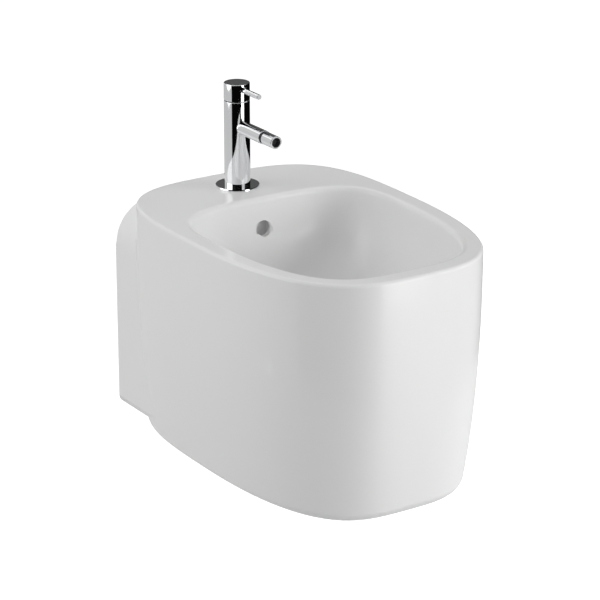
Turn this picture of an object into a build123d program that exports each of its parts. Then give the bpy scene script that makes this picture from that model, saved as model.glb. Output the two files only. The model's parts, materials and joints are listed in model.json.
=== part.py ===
from build123d import *
import math
import os

# Wall-hung bidet with a single-lever mixer on its deck and a push-button waste, in millimetres.
# +Z is up, the front faces -Y and the wall is the plane y = 0. The origin lies midway between
# the two wall fixing holes.

# Ceramic body, outside
body_width = 380.0
body_depth = 540.0
body_height = 358.0
rim_above_bolts = 80.0
widest_from_wall = 227.0
side_taper = 23.5
front_taper = 20.0
taper_power = 2.5
front_powers = (2.48, 3.31)
rear_powers = (3.22, 3.48)
foot_rear_powers = (3.22, 4.6)
rim_edge_radius = 5.0
foot_edge_radius = 24.0
body_from_wall = 2.0

# Column that meets the wall
column_width = 336.0
column_drop = 5.5
column_height = 326.0
column_shoulder = 100.0
column_power = 3.2
column_corner_radius = 14.0
least_inner_radius = 2.0
column_reach = 120.0

# Ceramic thicknesses
shell_thickness = 10.0
deck_thickness = 14.0
web_thickness = 16.0
basin_thickness = 10.0

# Basin
basin_width = 314.0
basin_front_gap = 33.0
deck_depth = 138.0
basin_widest_from_wall = 250.0
basin_depth = 150.0
basin_front_powers = (2.6, 3.6)
basin_rear_powers = (2.9, 3.4)
basin_edge_radius = 8.0
basin_lean = 5.0
basin_curve_start = 2.4
basin_curve_end = 0.56
drain_from_wall = 290.0
drain_flat_radius = 42.0
basin_levels = (0.2, 0.42, 0.62, 0.78, 0.9, 0.97, 1.0)

# Openings of the ceramic body
bolt_spacing = 180.0
bolt_hole_radius = 11.0
window_width = 220.0
window_height = 190.0
window_corner_radius = 30.0
window_below_bolts = 35.0
hatch_width = 190.0
hatch_depth = 290.0
hatch_corner_radius = 45.0
hatch_from_wall = 48.0
tap_from_wall = 70.0
tap_hole_radius = 17.5
waste_hole_radius = 23.0
waste_recess_radius = 33.0
waste_recess_depth = 4.0
boss_radius = 42.0
boss_height = 36.0
ring_channel_radius = 31.0
ring_channel_drop = 9.0
ring_channel_height = 14.0
overflow_radius = 11.5
overflow_mouth = 4.5
overflow_below_rim = 46.0
duct_wall = 9.0
duct_width = 26.0
duct_gap = 9.0
duct_cover = 6.0
duct_top_share = 0.24
duct_cover_top_share = 0.12
duct_foot_share = 0.995
sleeve_gap = 0.1
sleeve_bore_radius = 6.5
sleeve_flange_radius = 17.0
sleeve_flange_thickness = 3.0

# Tap, measured from its axis and from the deck
tap_radius = 19.0
tap_joint_height = 130.8
hub_gap = 1.6
hub_height = 25.1
edge_radius = 0.8
flange_radius = 32.6
flange_thickness = 3.2
flange_lip = 3.0
deck_seal_thickness = 1.6
spigot_radius = 16.9
fit_gap = 0.1
inlet_x = 6.6
inlet_y = 4.4
inlet_thread_radius = 4.5
inlet_thread_length = 15.0
thread_relief_depth = 0.5
thread_relief_length = 2.0
port_radius = 2.6
port_neck = 3.0
outlet_y = -6.5
stud_radius = 4.0
stud_y = -10.5
stud_length = 62.0
stud_depth = 14.0
clamp_radius = 25.0
clamp_thickness = 3.0
clamp_slot_width = 26.0
clamp_web = 4.5
stud_nut_across_flats = 13.0
stud_nut_height = 8.0
socket_across_flats = 2.5
socket_depth = 3.0

# Cartridge
cartridge_radius = 12.6
cartridge_wall = 2.1
cartridge_base_thickness = 3.0
cartridge_height = 16.0
cartridge_lip = 2.0
port_seal_width = 1.0
port_seal_height = 1.2
fixed_disc_thickness = 2.9
moving_disc_radius = 6.8
moving_disc_thickness = 4.0
moving_disc_rim = 2.4
mixing_pocket_depth = 1.0
stem_socket_floor = 1.6
disc_port_radius = 2.0
disc_port_share = 0.9
slide_gap = 0.05
turret_flange_radius = 10.2
turret_flange_height = 3.3
neck_radius = 8.4
running_gap = 0.08
neck_rise = 3.0
turret_slot_front = 7.5
turret_slot_rear = 4.1
thread_radius = 14.5
thread_length = 6.8
nut_notch = 3.0
nut_collar_height = 1.0
nut_collar_radius = 13.0
moving_gap = 0.3

# Lever
pivot_y = 2.0
pivot_above_joint = 0.7
pin_radius = 1.5
pin_length = 15.0
stem_thickness = 5.8
stem_depth = 6.0
stem_ball_radius = 2.2
stem_neck_radius = 1.9
stem_ball_drop = 13.4
stem_top_below_hub_top = 6.0
hub_hollow_radius = 16.0
hub_hollow_height = 6.6
hub_bevel_start = 5.0
hub_bevel_angle = 15.5
rod_radius = 3.9
rod_reach = 61.5
rod_below_hub_top = 8.2
rod_spigot_radius = 2.5
rod_spigot_length = 7.0
rod_socket_radius = 4.7
rod_socket_depth = 3.0
grub_radius = 2.5
grub_length = 8.0
plug_radius = 3.0
plug_depth = 2.5

# Spout and swivel nozzle
spout_height = 92.5
spout_radius = 10.3
spout_bore_radius = 7.0
spout_reach = 75.5
spout_spigot_radius = 9.0
spout_spigot_depth = 5.0
ring_radius = 8.7
ring_thickness = 1.8
ball_radius = 6.6
ball_centre_reach = 84.5
ball_neck_radius = 4.2
ball_bore_radius = 2.4
ball_thread_length = 8.0
seat_thickness = 0.9
seat_half_length = 2.6
nozzle_radius = 9.5
nozzle_rear_reach = 80.0
nozzle_reach = 106.5
nozzle_bore_radius = 7.4
nozzle_pocket_mouth_radius = 8.0
nozzle_pocket_throat_radius = 5.9
nozzle_pocket_start = 1.0
nozzle_pocket_length = 4.0
end_ring_depth = 6.5
end_ring_wall = 0.9
aerator_length = 7.0
aerator_wall = 1.4
aerator_face = 2.0
aerator_hole_radius = 0.7
aerator_hole_rings = ((6, 2.2), (12, 4.4))

# Waste
waste_flange_radius = 31.5
waste_flange_thickness = 2.6
waste_seal_thickness = 1.4
waste_tube_radius = 20.9
waste_bore_radius = 17.5
waste_length = 92.0
waste_seat_radius = 22.0
waste_seat_depth = 4.0
waste_slot_width = 14.0
waste_slot_count = 4
waste_slot_margin = 2.0
waste_tail_radius = 20.6
waste_tail_length = 28.0
seal_inset = 0.5
lower_seal_radius = 33.0
lower_seal_height = 8.0
lower_seal_top_radius = 26.0
slip_washer_thickness = 2.0
nut_across_flats = 62.0
nut_height = 12.0
thread_gap = 0.15
bridge_drop = 36.0
bridge_height = 8.0
bridge_arm_width = 5.0
bridge_hub_radius = 11.0
latch_radius = 8.5
latch_wall = 1.6
latch_drop = 6.0
latch_headroom = 8.8
stopper_radius = 28.5
stopper_edge = 2.5
stopper_crown = 3.5
stopper_lift = 8.0
stopper_gap = 0.6
stopper_skirt_radius = 16.5
stopper_skirt_height = 6.0
stopper_skirt_wall = 3.0
stopper_groove_depth = 1.5
stopper_groove_drop = 3.2
stopper_hub_radius = 6.0
stopper_seal_radius = 18.6
stopper_seal_thickness = 2.4
spindle_radius = 3.0
piston_radius = 6.5
piston_height = 6.0
piston_rise = 6.0
spring_wire_radius = 0.45
spring_turns = 4
spring_radius = 5.2
spring_end_gap = 0.05

# How far a cutting tool runs past the face that it opens
overrun = 1.0

# Places that follow from the sizes above
rim_z = rim_above_bolts
foot_z = rim_z - body_height
column_top_z = rim_z - column_drop
column_foot_z = column_top_z - column_height
basin_floor_z = rim_z - basin_depth
boss_foot_z = basin_floor_z - boss_height
deck_under_z = -deck_thickness
hub_foot = tap_joint_height + hub_gap
hub_top = hub_foot + hub_height
pivot_z = tap_joint_height + pivot_above_joint
rod_z = hub_top - rod_below_hub_top
cartridge_top = tap_joint_height - thread_length
cartridge_foot = cartridge_top - cartridge_height
disc_z = cartridge_foot + cartridge_base_thickness
ball_y = -ball_centre_reach
latch_length = 2 * latch_wall + piston_rise + piston_height + stopper_lift + latch_headroom
latch_foot_z = -bridge_drop - latch_drop
piston_z = latch_foot_z + latch_wall + piston_rise

LOW = (Align.CENTER, Align.CENTER, Align.MIN)
MID = (Align.CENTER, Align.CENTER, Align.CENTER)


def upright(radius, z, height, x=0.0, y=0.0):
    """Upright cylinder that stands on height z."""
    return Pos(x, y, z) * Cylinder(radius, height, align=LOW)


def forward(radius, y, length, z, x=0.0):
    """Level cylinder that starts at y and runs towards the front, along -Y."""
    return Pos(x, y, z) * Rot(90, 0, 0) * Cylinder(radius, length, align=LOW)


def across(radius, length, y, z):
    """Level cylinder along X, centred on x = 0."""
    return Pos(0, y, z) * Rot(0, 90, 0) * Cylinder(radius, length, align=MID)


def block(width, depth, height, x, y, z):
    """Box centred on x and y that stands on height z."""
    return Pos(x, y, z) * Box(width, depth, height, align=LOW)


def ring(outer, inner, z, height, x=0.0, y=0.0):
    """Upright flat ring."""
    return upright(outer, z, height, x, y) - upright(inner, z, height, x, y)


def egg(z, half_width, front, rear, widest, front_power, rear_power, steps=8):
    """Level face inside a symmetrical egg-shaped outline.

    Each quarter is a superellipse from the centre line to the widest place. front and rear are the
    distances from the wall, and a power is a pair, one along the depth and one across the width.
    """
    quarter = []
    for end, (along, wide) in ((front, front_power), (rear, rear_power)):
        points = []
        for step in range(steps + 1):
            q = step / steps
            near = q ** (wide / 2)
            far = (1 - q) ** (along / 2)
            turn = math.pi / 2 * near / (near + far)
            x = half_width * math.sin(turn) ** (2 / wide)
            y = -widest - (end - widest) * max(math.cos(turn), 0.0) ** (2 / along)
            points.append((x, y))
        quarter.append(points)
    right = quarter[0] + quarter[1][-2::-1]
    left = [(-x, y) for x, y in right[-2:0:-1]]
    outline = [Vector(x, y, z) for x, y in right + left]
    return make_face(Spline(*outline, periodic=True))


def body_section(z, inset=0.0, rear=0.0):
    """Level section of the body at height z, drawn in by inset, with its rear end at depth rear."""
    share = max(rim_z - z, 0.0) / body_height
    taper = share ** taper_power
    rear_power = [a + (b - a) * share for a, b in zip(rear_powers, foot_rear_powers)]
    return egg(
        z,
        body_width / 2 - side_taper * taper - inset,
        body_depth - front_taper * taper - inset,
        rear,
        widest_from_wall,
        front_powers,
        rear_power,
    )


def body_loft(top, foot, inset=0.0, rear=0.0, count=6):
    """Solid through level sections of the body, from height top down to height foot."""
    levels = [top + (foot - top) * k / (count - 1) for k in range(count)]
    return loft([body_section(z, inset, rear) for z in reversed(levels)])


def column_face(y, inset=0.0, steps=24):
    """Outline of the column on an upright plane: an arched top, straight sides, rounded feet."""
    half = column_width / 2 - inset
    top = column_top_z - inset
    shoulder = column_top_z - column_shoulder
    foot = column_foot_z + inset
    rise = top - shoulder
    corner = max(column_corner_radius - inset, least_inner_radius)
    arch = []
    for step in range(steps + 1):
        turn = math.pi * step / steps
        x = half * math.copysign(abs(math.cos(turn)) ** (2 / column_power), math.cos(turn))
        arch.append(Vector(x, y, shoulder + rise * math.sin(turn) ** (2 / column_power)))
    edges = [
        Spline(*arch, tangents=((0, 0, 1), (0, 0, -1))),
        FilletPolyline(arch[-1], (-half, y, foot), (half, y, foot), arch[0], radius=corner),
    ]
    return make_face(edges)


def basin_share(depth_share):
    """How far the basin wall has come in towards the drain, from 0 to 1, at a share of its depth."""
    return 1 - (1 - depth_share ** basin_curve_start) ** basin_curve_end


def basin_numbers(depth_share, grow):
    """Half width, front, rear and widest place of the basin at a share of its depth."""
    come_in = basin_share(depth_share)
    lean = basin_lean * depth_share
    half = basin_width / 2 - lean
    front = body_depth - basin_front_gap - lean
    rear = deck_depth + lean
    half += (drain_flat_radius - half) * come_in + grow
    front += (drain_from_wall + drain_flat_radius - front) * come_in + grow
    rear += (drain_from_wall - drain_flat_radius - rear) * come_in - grow
    widest = basin_widest_from_wall + (drain_from_wall - basin_widest_from_wall) * come_in
    return half, front, rear, widest


def basin_section(depth_share, z, grow=0.0):
    """Level section of the basin, or of its outer skin when grow is the wall thickness."""
    come_in = basin_share(depth_share)
    half, front, rear, widest = basin_numbers(depth_share, grow)
    front_power = [a + (2.0 - a) * come_in for a in basin_front_powers]
    rear_power = [a + (2.0 - a) * come_in for a in basin_rear_powers]
    return egg(z, half, front, rear, widest, front_power, rear_power)


def basin_solid(grow=0.0, top_share=0.0):
    """The hollow of the basin below a share of its depth, or with grow the hollow and its wall."""
    sections = []
    for share in reversed((top_share, *basin_levels)):
        z = rim_z - share * (basin_depth + grow)
        sections.append(basin_section(share, z, grow))
    return loft(sections)


def lip_solid(steps=5):
    """Top of the basin's hollow, which flares in a quarter round to the rim."""
    sections = []
    for step in range(steps, -1, -1):
        turn = math.pi / 2 * step / steps
        drop = basin_edge_radius * (1 - math.cos(turn))
        flare = basin_edge_radius * (1 - math.sin(turn))
        sections.append(basin_section(drop / basin_depth, rim_z - drop, flare))
    return loft(sections)


def rear_line(offset, first, last, steps=9):
    """Centre-line points of the basin's rear wall, moved outwards by offset, as (y, z) pairs."""
    points = []
    for step in range(steps + 1):
        share = first + (last - first) * step / steps
        here = (-basin_numbers(share, 0.0)[2], rim_z - share * basin_depth)
        nudge = 0.004
        ahead = min(share + nudge, 1.0)
        behind = ahead - nudge
        dy = -basin_numbers(ahead, 0.0)[2] + basin_numbers(behind, 0.0)[2]
        dz = -nudge * basin_depth
        size = math.hypot(dy, dz)
        points.append((here[0] - dz / size * offset, here[1] + dy / size * offset))
    return points


def duct_solid(inner, outer, width, first, last):
    """Band behind the basin's rear wall, between two offsets from it."""
    near = rear_line(inner, first, last)
    far = rear_line(outer, first, last)
    outline = [(0, y, z) for y, z in near + far[::-1]]
    face = make_face(Polyline(*outline, close=True))
    return extrude(face, amount=width / 2, dir=(1, 0, 0), both=True)


def window_solid():
    """Opening in the back web for the pipes."""
    face = RectangleRounded(window_width, window_height, window_corner_radius)
    centre_z = -window_below_bolts - window_height / 2
    plane = Plane(origin=(0, 0, centre_z), x_dir=(1, 0, 0), z_dir=(0, -1, 0))
    return extrude(plane * face, amount=web_thickness * 2, both=True)


def hatch_solid():
    """Opening in the foot, through which the trap, the hoses and the fixings are reached."""
    face = RectangleRounded(hatch_width, hatch_depth, hatch_corner_radius)
    centre_y = -hatch_from_wall - hatch_depth / 2
    return extrude(Pos(0, centre_y, foot_z) * face, amount=shell_thickness * 2, both=True)


def shell_outside():
    """Outside of the body with its filleted edges, the column, and the basin cut in with its lip."""
    outer = body_loft(rim_z, foot_z, rear=body_from_wall)
    outer = fillet(outer.faces().sort_by(Axis.Z)[-1].edges(), rim_edge_radius)
    outer = fillet(outer.faces().sort_by(Axis.Z)[0].edges(), foot_edge_radius)
    outer += extrude(column_face(0), amount=column_reach, dir=(0, -1, 0))
    return outer - (basin_solid(top_share=basin_edge_radius / basin_depth) + lip_solid())


def shell_inside():
    """The hollow under the deck and the basin, which leaves the drain boss and the duct's cover."""
    ceiling = rim_z - deck_thickness
    floor = foot_z + shell_thickness
    hollow = body_loft(ceiling, floor, shell_thickness, web_thickness + body_from_wall)
    inner_face = column_face(-web_thickness, shell_thickness)
    hollow += extrude(inner_face, amount=column_reach - web_thickness, dir=(0, -1, 0))
    hollow -= basin_solid(basin_thickness)
    hollow -= upright(boss_radius, boss_foot_z, boss_height, y=-drain_from_wall)
    cover = duct_wall + duct_gap + duct_cover
    width = duct_width + 2 * duct_cover
    return hollow - duct_solid(0, cover, width, duct_cover_top_share, duct_foot_share)


def drain_tools():
    """Hole, recess and ring channel of the drain."""
    hole = upright(waste_hole_radius, boss_foot_z - overrun, boss_height + 2 * overrun)
    recess_z = basin_floor_z - waste_recess_depth
    recess = upright(waste_recess_radius, recess_z, waste_recess_depth + overrun)
    channel_z = basin_floor_z - ring_channel_drop - ring_channel_height
    channel = upright(ring_channel_radius, channel_z, ring_channel_height)
    return [Pos(0, -drain_from_wall, 0) * tool for tool in (hole, recess, channel)]


def overflow_tools():
    """Duct behind the basin, and the overflow hole with its rolled mouth that leads into it."""
    duct = duct_solid(duct_wall, duct_wall + duct_gap, duct_width, duct_top_share, duct_foot_share)
    z = rim_z - overflow_below_rim
    wall_y = -basin_numbers(overflow_below_rim / basin_depth, 0.0)[2]
    end_y = wall_y + duct_wall + duct_gap
    hole = forward(overflow_radius, end_y, end_y - wall_y + overflow_radius / 2, z)
    mouth = Cone(overflow_radius, overflow_radius + overflow_mouth, overflow_mouth, align=LOW)
    return [duct, hole + Pos(0, wall_y + overflow_mouth * 2 / 3, z) * Rot(90, 0, 0) * mouth]


def fixing_tools():
    """Holes for the tap and the wall bolts, the window in the back web and the hatch in the foot."""
    tools = [upright(tap_hole_radius, deck_under_z - overrun, deck_thickness + 2 * overrun)]
    tools[0] = Pos(0, -tap_from_wall, rim_z) * tools[0]
    for side in (-1, 1):
        x = side * bolt_spacing / 2
        tools.append(forward(bolt_hole_radius, overrun, web_thickness + 2 * overrun, 0, x))
    return tools + [window_solid(), hatch_solid()]


def make_ceramic():
    """The fired body: outer shell, column, basin, deck, back web and water passages."""
    body = shell_outside() - shell_inside()
    for tool in drain_tools() + overflow_tools() + fixing_tools():
        body -= tool
    return body


def make_sleeves():
    """Two flanged sleeves that line the wall fixing holes."""
    sleeves = []
    sleeve_length = web_thickness + sleeve_flange_thickness
    for side in (-1, 1):
        x = side * bolt_spacing / 2
        sleeve = forward(bolt_hole_radius - sleeve_gap, 0, web_thickness, 0, x)
        sleeve += forward(sleeve_flange_radius, -web_thickness, sleeve_flange_thickness, 0, x)
        sleeve -= forward(sleeve_bore_radius, overrun, sleeve_length + 2 * overrun, 0, x)
        sleeves.append(sleeve)
    return sleeves


def inlet_places():
    """Places of the two supply inlets."""
    return [(-inlet_x, inlet_y), (inlet_x, inlet_y)]


def port_tools(z, height, radius):
    """Three upright holes: two inlets and the outlet."""
    places = inlet_places() + [(0, outlet_y)]
    return [upright(radius, z, height, x, y) for x, y in places]


def make_tap_body():
    """Upright body of the mixer with its waterways and cartridge chamber."""
    body = upright(tap_radius, flange_thickness, tap_joint_height - flange_thickness)
    body = fillet(body.edges().sort_by(Axis.Z)[-1], edge_radius)
    body += upright(spigot_radius, 0, flange_thickness)
    body -= upright(cartridge_radius + fit_gap, cartridge_foot, cartridge_height)
    body -= upright(thread_radius, cartridge_top, thread_length + overrun)
    relief_radius = inlet_thread_radius + thread_relief_depth
    for x, y in inlet_places():
        body -= upright(inlet_thread_radius, -overrun, cartridge_foot - port_neck + overrun, x, y)
        body -= upright(relief_radius, inlet_thread_length, thread_relief_length, x, y)
        body -= upright(port_radius, 0, cartridge_foot + overrun, x, y)
    body -= upright(stud_radius + fit_gap, -overrun, stud_depth + overrun, 0, stud_y)
    body -= upright(port_radius, spout_height, cartridge_foot - spout_height + overrun, 0, outlet_y)
    body -= forward(spout_spigot_radius, -tap_radius + spout_spigot_depth, tap_radius, spout_height)
    body -= forward(port_radius * 2, outlet_y + port_radius, tap_radius, spout_height)
    return body


def make_flange():
    """Round cover plate between the mixer and the deck."""
    plate = upright(flange_radius, 0, flange_thickness)
    plate = chamfer(plate.edges().sort_by(Axis.Z)[-1], edge_radius, edge_radius / 2)
    plate -= upright(spigot_radius + fit_gap, -overrun, flange_thickness + 2 * overrun)
    plate -= ring(flange_radius - flange_lip, spigot_radius + flange_lip, 0, deck_seal_thickness)
    return plate


def make_deck_seal():
    """Flat rubber ring in the groove under the cover plate."""
    outer = flange_radius - flange_lip - fit_gap
    return ring(outer, spigot_radius + flange_lip + fit_gap, 0, deck_seal_thickness)


def make_clamp(z, thickness):
    """Horseshoe plate under the deck, open to the rear for the supply hoses."""
    plate = upright(clamp_radius, z, thickness)
    slot_front = stud_y + stud_radius + clamp_web
    slot_length = clamp_radius - slot_front + overrun
    plate -= block(clamp_slot_width, slot_length, thickness, 0, slot_front + slot_length / 2, z)
    plate -= upright(stud_radius + fit_gap, z, thickness, 0, stud_y)
    return plate


def make_stud_nut(z):
    """Hexagon nut on the fixing stud."""
    hexagon = RegularPolygon(stud_nut_across_flats / 2, 6, major_radius=False)
    nut = extrude(Pos(0, stud_y, z) * hexagon, stud_nut_height)
    return nut - upright(stud_radius + fit_gap, z, stud_nut_height, 0, stud_y)


def make_cartridge_base():
    """Foot plate of the cartridge with recesses for the port seals."""
    base = upright(cartridge_radius, cartridge_foot, cartridge_base_thickness)
    for tool in port_tools(cartridge_foot, cartridge_base_thickness, port_radius):
        base -= tool
    for tool in port_tools(cartridge_foot, port_seal_height, port_radius + port_seal_width):
        base -= tool
    return base


def make_port_seals():
    """Three rubber rings between the cartridge and the mixer body."""
    outers = port_tools(cartridge_foot, port_seal_height, port_radius + port_seal_width)
    inners = port_tools(cartridge_foot, port_seal_height, port_radius)
    return [outer - inner for outer, inner in zip(outers, inners)]


def make_cartridge_shell():
    """Cartridge shell with the lip that holds the turret down."""
    height = cartridge_height - cartridge_base_thickness
    shell = ring(cartridge_radius, cartridge_radius - cartridge_wall, disc_z, height)
    lip_z = cartridge_top - cartridge_lip
    return shell + ring(cartridge_radius, neck_radius + running_gap, lip_z, cartridge_lip)


def make_fixed_disc():
    """Fixed ceramic disc with its three ports."""
    disc = upright(cartridge_radius - cartridge_wall - fit_gap, disc_z, fixed_disc_thickness)
    for x, y in inlet_places() + [(0, outlet_y)]:
        place = (x * disc_port_share, y * disc_port_share)
        disc -= upright(disc_port_radius, disc_z, fixed_disc_thickness, *place)
    return disc


def make_moving_disc():
    """Sliding ceramic disc with a mixing pocket below and a socket for the stem above."""
    z = disc_z + fixed_disc_thickness + slide_gap
    disc = upright(moving_disc_radius, z, moving_disc_thickness, 0, pivot_y)
    disc -= upright(moving_disc_radius - moving_disc_rim, z, mixing_pocket_depth, 0, pivot_y)
    socket = stem_ball_radius + moving_gap
    return disc - upright(socket, z + stem_socket_floor, moving_disc_thickness, 0, pivot_y)


def make_turret():
    """Guide that turns with the lever and carries its hinge pin."""
    foot = cartridge_top - cartridge_lip - moving_gap - turret_flange_height
    turret = upright(turret_flange_radius, foot, turret_flange_height)
    turret += upright(neck_radius, foot, tap_joint_height + neck_rise - foot)
    slot_width = stem_thickness + 2 * moving_gap
    slot_depth = turret_slot_front + turret_slot_rear
    slot_y = pivot_y + (turret_slot_rear - turret_slot_front) / 2
    turret -= block(slot_width, slot_depth, neck_radius * 4, 0, slot_y, foot - overrun)
    return turret - across(pin_radius, pin_length, pivot_y, pivot_z)


def make_pin():
    """Hinge pin of the lever."""
    return across(pin_radius, pin_length, pivot_y, pivot_z)


def make_cartridge_nut():
    """Threaded ring that holds the cartridge in its chamber."""
    nut = upright(thread_radius - fit_gap, cartridge_top, thread_length)
    nut += upright(nut_collar_radius, tap_joint_height, nut_collar_height)
    nut -= upright(neck_radius + moving_gap, cartridge_top, thread_length + nut_collar_height)
    for side in (-1, 1):
        x = side * (nut_collar_radius - nut_notch / 2)
        nut -= block(nut_notch, nut_notch, nut_notch, x, 0, tap_joint_height - overrun)
    return nut


def make_stem():
    """Lever stem from the moving disc up into the hub."""
    top = hub_top - stem_top_below_hub_top
    lug_foot = cartridge_top - cartridge_lip
    stem = block(stem_thickness, stem_depth, top - lug_foot, 0, pivot_y, lug_foot)
    ball_z = pivot_z - stem_ball_drop
    stem += upright(stem_neck_radius, ball_z, lug_foot - ball_z, 0, pivot_y)
    stem += Pos(0, pivot_y, ball_z) * Sphere(stem_ball_radius)
    stem -= across(pin_radius + running_gap, pin_length, pivot_y, pivot_z)
    return stem


def make_hub():
    """Round cap of the lever with its hollow, rod socket and bevelled rear foot."""
    hub = upright(tap_radius, hub_foot, hub_height)
    hub = fillet(hub.edges().sort_by(Axis.Z)[-1], edge_radius)
    hub -= upright(hub_hollow_radius, hub_foot, hub_hollow_height)
    corner = (Align.CENTER, Align.MIN, Align.MAX)
    wedge = Box(3 * tap_radius, 2 * tap_radius, hub_height, align=corner)
    hub -= Pos(0, hub_bevel_start, hub_foot) * Rot(hub_bevel_angle, 0, 0) * wedge
    stem_top = hub_top - stem_top_below_hub_top
    hub -= block(stem_thickness, stem_depth, stem_top - hub_foot, 0, pivot_y, hub_foot)
    root = -tap_radius + rod_socket_depth
    hub -= forward(rod_socket_radius, root, tap_radius, rod_z)
    hub -= forward(rod_spigot_radius, root + rod_spigot_length, rod_spigot_length + overrun, rod_z)
    stem_rear = pivot_y + stem_depth / 2
    hub -= forward(grub_radius, stem_rear + tap_radius, tap_radius, rod_z)
    return hub - forward(plug_radius, tap_radius + overrun, plug_depth + overrun, rod_z)


def make_rod():
    """Lever rod with the spigot that screws into the hub."""
    root = -tap_radius + rod_socket_depth
    rod = forward(rod_radius, root, rod_reach + root, rod_z)
    rod = chamfer(rod.edges().sort_by(Axis.Y)[0], edge_radius / 2)
    return rod + forward(rod_spigot_radius, root + rod_spigot_length, rod_spigot_length, rod_z)


def make_grub():
    """Socket-head grub screw that clamps the stem."""
    rear = pivot_y + stem_depth / 2
    screw = forward(grub_radius, rear + grub_length, grub_length, rod_z)
    plane = Plane(origin=(0, rear + grub_length, rod_z), x_dir=(1, 0, 0), z_dir=(0, -1, 0))
    hexagon = RegularPolygon(socket_across_flats / 2, 6, major_radius=False)
    return screw - extrude(plane * hexagon, socket_depth)


def make_plug():
    """Small plug over the grub screw."""
    plug = forward(plug_radius, tap_radius, plug_depth, rod_z)
    return plug & upright(tap_radius - fit_gap, hub_foot, hub_height)


def make_spout():
    """Spout tube, cut to the round of the mixer body, with the spigot that enters it."""
    spout = forward(spout_radius, 0, spout_reach, spout_height)
    spout -= upright(tap_radius, 0, hub_top)
    spout = chamfer(spout.edges().filter_by(GeomType.CIRCLE).sort_by(Axis.Y)[0], edge_radius / 2)
    spigot_start = -tap_radius + spout_spigot_depth
    spout += forward(spout_spigot_radius, spigot_start, 2 * spout_spigot_depth, spout_height)
    return spout - forward(spout_bore_radius, 0, spout_reach + overrun, spout_height)


def make_spout_ring():
    """Black washer between the spout and the ball joint."""
    washer = forward(ring_radius, -spout_reach, ring_thickness, spout_height)
    return washer - forward(ball_neck_radius + fit_gap, -spout_reach, ring_thickness, spout_height)


def make_ball():
    """Ball of the swivel joint on its threaded spigot, bored for the water."""
    thread_y = -spout_reach + ball_thread_length
    ball = forward(spout_bore_radius - fit_gap, thread_y, ball_thread_length, spout_height)
    ball += forward(ball_neck_radius, -spout_reach, ball_centre_reach - spout_reach, spout_height)
    ball += Pos(0, ball_y, spout_height) * Sphere(ball_radius)
    return ball - forward(ball_bore_radius, 0, ball_centre_reach + ball_radius, spout_height)


def make_seat():
    """Thin friction ring that rides on the ball."""
    inner = ball_radius + running_gap
    seat = Pos(0, ball_y, spout_height) * (Sphere(inner + seat_thickness) - Sphere(inner))
    return seat & forward(nozzle_radius, ball_y + seat_half_length, 2 * seat_half_length, spout_height)


def make_nozzle():
    """Chromed nozzle shell that swivels on the ball."""
    length = nozzle_reach - nozzle_rear_reach
    shell = forward(nozzle_radius, -nozzle_rear_reach, length, spout_height)
    shell = chamfer(shell.edges().filter_by(GeomType.CIRCLE), edge_radius / 2)
    pocket = ball_radius + running_gap + seat_thickness + moving_gap
    shell -= Pos(0, ball_y, spout_height) * Sphere(pocket)
    shell -= forward(nozzle_bore_radius, ball_y, length, spout_height)
    mouth = Cone(
        nozzle_pocket_mouth_radius, nozzle_pocket_throat_radius, nozzle_pocket_length, align=LOW
    )
    mouth_y = -nozzle_rear_reach + nozzle_pocket_start
    return shell - Pos(0, mouth_y, spout_height) * Rot(90, 0, 0) * mouth


def make_aerator():
    """Aerator insert with its ring of fine holes."""
    front = -nozzle_reach + end_ring_depth
    rear = front + aerator_length
    insert = forward(nozzle_bore_radius, rear, aerator_length, spout_height)
    hollow_length = aerator_length - aerator_face
    insert -= forward(nozzle_bore_radius - aerator_wall, rear, hollow_length, spout_height)
    for count, radius in aerator_hole_rings:
        for k in range(count):
            turn = 2 * math.pi * k / count
            x = radius * math.cos(turn)
            z = spout_height + radius * math.sin(turn)
            insert -= forward(aerator_hole_radius, rear, aerator_length + overrun, z, x)
    return insert


def make_end_ring():
    """Black liner ring in the mouth of the nozzle."""
    rear = -nozzle_reach + end_ring_depth
    outer = forward(nozzle_bore_radius, rear, end_ring_depth, spout_height)
    return outer - forward(nozzle_bore_radius - end_ring_wall, rear, end_ring_depth, spout_height)


def make_waste_body():
    """Flanged and threaded waste tube with overflow slots, a turned tail and the latch's bridge."""
    seat_z = -waste_recess_depth + waste_seal_thickness
    flange_top = seat_z + waste_flange_thickness
    tail_z = flange_top - waste_length
    body = upright(waste_flange_radius, seat_z, waste_flange_thickness)
    body = fillet(body.edges().sort_by(Axis.Z)[-1], edge_radius)
    body += upright(waste_tube_radius, tail_z + waste_tail_length, seat_z - tail_z - waste_tail_length)
    body += upright(waste_tail_radius, tail_z, waste_tail_length)
    body -= upright(waste_bore_radius, tail_z, waste_length)
    seat = Cone(waste_bore_radius, waste_seat_radius, waste_seat_depth, align=LOW)
    body -= Pos(0, 0, flange_top - waste_seat_depth) * seat
    slot_z = -ring_channel_drop - ring_channel_height + waste_slot_margin
    slot_height = ring_channel_height - 2 * waste_slot_margin
    slot = block(waste_tube_radius * 2, waste_slot_width, slot_height, waste_tube_radius, 0, slot_z)
    for k in range(waste_slot_count):
        body -= Rot(0, 0, 360 / waste_slot_count * k) * slot
    reach = waste_bore_radius + waste_tail_radius
    body += block(reach, bridge_arm_width, bridge_height, 0, 0, -bridge_drop)
    body += block(bridge_arm_width, reach, bridge_height, 0, 0, -bridge_drop)
    body += upright(bridge_hub_radius, -bridge_drop, bridge_height)
    return body - upright(latch_radius, -bridge_drop, bridge_height)


def make_waste_top_seal():
    """Flat seal under the waste flange."""
    outer = waste_flange_radius - seal_inset
    return ring(outer, waste_tube_radius + thread_gap, -waste_recess_depth, waste_seal_thickness)


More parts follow.
